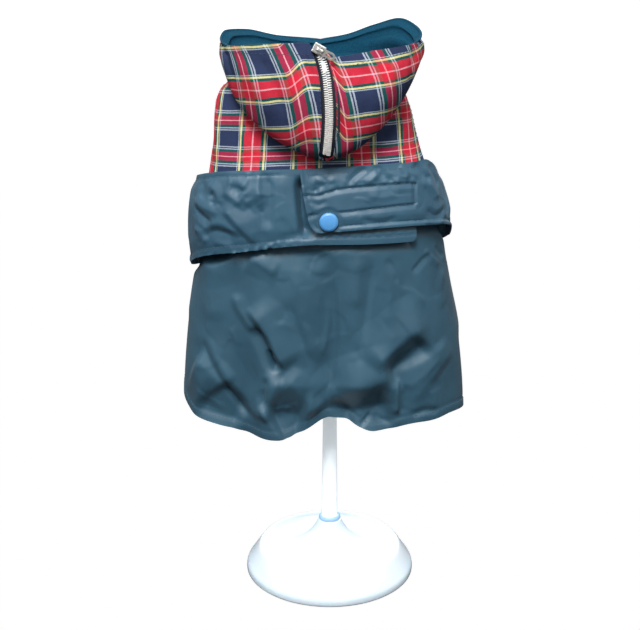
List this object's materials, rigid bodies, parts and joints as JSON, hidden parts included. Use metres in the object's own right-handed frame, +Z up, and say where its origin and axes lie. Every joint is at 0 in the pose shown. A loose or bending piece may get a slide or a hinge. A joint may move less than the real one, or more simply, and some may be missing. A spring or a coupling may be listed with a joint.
{
  "type": "dog jacket on a dress form stand",
  "caption": "Hooded dog jacket with a tartan yoke, nylon cape and wrap belt, on a limbless dress form with a round base.",
  "frame": {"origin": "centre of the stand base's underside, on the stem's axis", "axes": "+Z up along the stem; the jacket's back faces -Y; +X is to the right as the back is seen"},
  "size_m": [0.211, 0.136, 0.4245],
  "materials": {
    "stand": "smooth milky plastic",
    "nylon": "slightly glossy woven nylon",
    "tartan": "matt woven check in navy, red, green, yellow and white",
    "fleece": "matt teal fleece",
    "tape": "matt woven tape",
    "zip": "satin metal",
    "snap": "smooth"
  },
  "bodies": {
    "jacket_and_stand": {"stand_base": "stand", "stand_stem": "stand", "stand_form": "stand", "skirt": "nylon", "belt_strap": "nylon", "belt_flap": "nylon", "belt_belly": "nylon", "yoke_back": "tartan", "yoke_front": "tartan", "hood_left": "tartan", "hood_right": "tartan", "hood_lining_left": "fleece", "hood_lining_right": "fleece", "zip_tape_left": "tape", "zip_tape_right": "tape", "zip_chain": "zip", "zip_slider": "zip", "snap_cap": "snap"},
    "pull_tab": {"zip_pull": "zip"}
  },
  "joints": [
    {"name": "pull_tab_hinge", "type": "hinge", "parent": "jacket_and_stand", "child": "pull_tab", "pos_m": [-0.0075, -0.06952, 0.41579], "axis": [-0.4802, -0.095, -0.872], "range_deg": [0, 165]}
  ]
}
